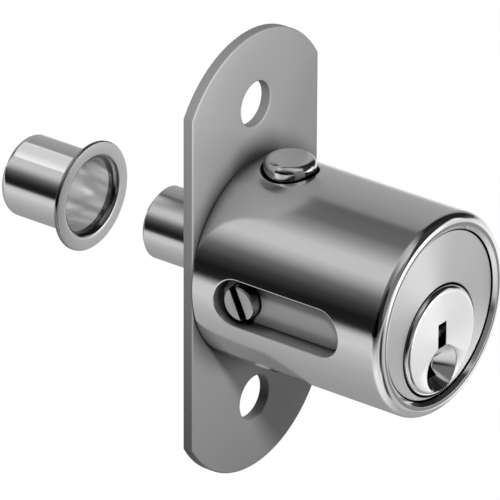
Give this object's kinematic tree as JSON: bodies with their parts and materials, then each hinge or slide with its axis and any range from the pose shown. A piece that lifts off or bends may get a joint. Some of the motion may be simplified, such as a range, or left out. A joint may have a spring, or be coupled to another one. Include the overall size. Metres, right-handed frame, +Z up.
{
  "type": "sliding door lock",
  "caption": "Push-to-lock sliding door lock: keyed plunger in a round barrel on a screw plate, with guide slot, locking stud, round bolt and flanged strike cup.",
  "frame": {"origin": "on the bolt's axis, on the back face of the mounting plate, midway between the screw holes", "axes": "+Z up, along the line of the screw holes; +Y along the bolt, from the key's side into the door"},
  "size_m": [0.0286, 0.0709, 0.0648],
  "materials": {
    "plate": "satin nickel",
    "barrel": "polished along its length",
    "plunger": "satin face with a turned grain",
    "carrier": "machined",
    "steel": "plain",
    "bolt": "polished",
    "screw": "plain",
    "brass": "turned",
    "plug": "satin face with a polished shoulder",
    "stud": "polished",
    "spring": "drawn wire",
    "cup": "polished with a satin flange"
  },
  "bodies": {
    "barrel_unit": {"mounting_plate": "plate", "housing": "barrel"},
    "plunger_unit": {"plunger": "plunger", "bolt_carrier": "carrier", "carrier_pin": "steel", "bolt": "bolt", "guide_screw": "screw", "chamber_plugs": "brass", "return_spring": "spring", "stud_spring": "spring", "pin_spring_1": "spring", "pin_spring_2": "spring", "pin_spring_3": "spring", "pin_spring_4": "spring", "pin_spring_5": "spring"},
    "plug_unit": {"key_plug": "plug", "plug_clip": "steel", "cam_pin": "steel"},
    "stud_unit": {"locking_stud": "stud"},
    "yoke_unit": {"stud_yoke": "brass"},
    "cup_unit": {"strike_cup": "cup"},
    "key_pin_unit_1": {"key_pin_1": "brass"},
    "driver_pin_unit_1": {"driver_pin_1": "brass"},
    "key_pin_unit_2": {"key_pin_2": "brass"},
    "driver_pin_unit_2": {"driver_pin_2": "brass"},
    "key_pin_unit_3": {"key_pin_3": "brass"},
    "driver_pin_unit_3": {"driver_pin_3": "brass"},
    "key_pin_unit_4": {"key_pin_4": "brass"},
    "driver_pin_unit_4": {"driver_pin_4": "brass"},
    "key_pin_unit_5": {"key_pin_5": "brass"},
    "driver_pin_unit_5": {"driver_pin_5": "brass"}
  },
  "joints": [
    {"name": "plunger_slide", "type": "slide", "parent": "barrel_unit", "child": "plunger_unit", "axis": [0, -1, 0], "range_m": [0, 0.0143], "deforming": ["return_spring"]},
    {"name": "key_turn", "type": "hinge", "parent": "plunger_unit", "child": "plug_unit", "pos_m": [0, -0.0241, -0.00365], "axis": [0, 1, 0], "range_deg": [0, 90]},
    {"name": "stud_retract", "type": "slide", "parent": "barrel_unit", "child": "stud_unit", "axis": [0, 0, -1], "range_m": [0, 0.00425]},
    {"name": "yoke_slide", "type": "slide", "parent": "plunger_unit", "child": "yoke_unit", "axis": [0, 0, -1], "range_m": [0, 0.00424], "stiffness_N_per_m": 50, "springref_m": -0.006, "deforming": ["stud_spring"]},
    {"name": "cup_slide", "type": "slide", "parent": "barrel_unit", "child": "cup_unit", "axis": [0, -1, 0], "range_m": [0, 0.02]},
    {"name": "key_pin_1_drop", "type": "slide", "parent": "plug_unit", "child": "key_pin_unit_1", "axis": [0, 0, 1], "range_m": [-0.0033, 0]},
    {"name": "driver_pin_1_drop", "type": "slide", "parent": "plunger_unit", "child": "driver_pin_unit_1", "axis": [0, 0, 1], "range_m": [-0.0033, 0], "deforming": ["pin_spring_1"]},
    {"name": "key_pin_2_drop", "type": "slide", "parent": "plug_unit", "child": "key_pin_unit_2", "axis": [0, 0, 1], "range_m": [-0.0023, 0]},
    {"name": "driver_pin_2_drop", "type": "slide", "parent": "plunger_unit", "child": "driver_pin_unit_2", "axis": [0, 0, 1], "range_m": [-0.0023, 0], "deforming": ["pin_spring_2"]},
    {"name": "key_pin_3_drop", "type": "slide", "parent": "plug_unit", "child": "key_pin_unit_3", "axis": [0, 0, 1], "range_m": [-0.0039, 0]},
    {"name": "driver_pin_3_drop", "type": "slide", "parent": "plunger_unit", "child": "driver_pin_unit_3", "axis": [0, 0, 1], "range_m": [-0.0039, 0], "deforming": ["pin_spring_3"]},
    {"name": "key_pin_4_drop", "type": "slide", "parent": "plug_unit", "child": "key_pin_unit_4", "axis": [0, 0, 1], "range_m": [-0.0027, 0]},
    {"name": "driver_pin_4_drop", "type": "slide", "parent": "plunger_unit", "child": "driver_pin_unit_4", "axis": [0, 0, 1], "range_m": [-0.0027, 0], "deforming": ["pin_spring_4"]},
    {"name": "key_pin_5_drop", "type": "slide", "parent": "plug_unit", "child": "key_pin_unit_5", "axis": [0, 0, 1], "range_m": [-0.0036, 0]},
    {"name": "driver_pin_5_drop", "type": "slide", "parent": "plunger_unit", "child": "driver_pin_unit_5", "axis": [0, 0, 1], "range_m": [-0.0036, 0], "deforming": ["pin_spring_5"]}
  ],
  "couplings": [
    {"joint": "stud_retract", "follows": "yoke_slide", "ratio": 1},
    {"joint": "key_turn", "follows": "yoke_slide", "rad_per_m": 370.24},
    {"joint": "driver_pin_1_drop", "follows": "key_pin_1_drop", "ratio": 1},
    {"joint": "driver_pin_2_drop", "follows": "key_pin_2_drop", "ratio": 1},
    {"joint": "driver_pin_3_drop", "follows": "key_pin_3_drop", "ratio": 1},
    {"joint": "driver_pin_4_drop", "follows": "key_pin_4_drop", "ratio": 1},
    {"joint": "driver_pin_5_drop", "follows": "key_pin_5_drop", "ratio": 1}
  ]
}
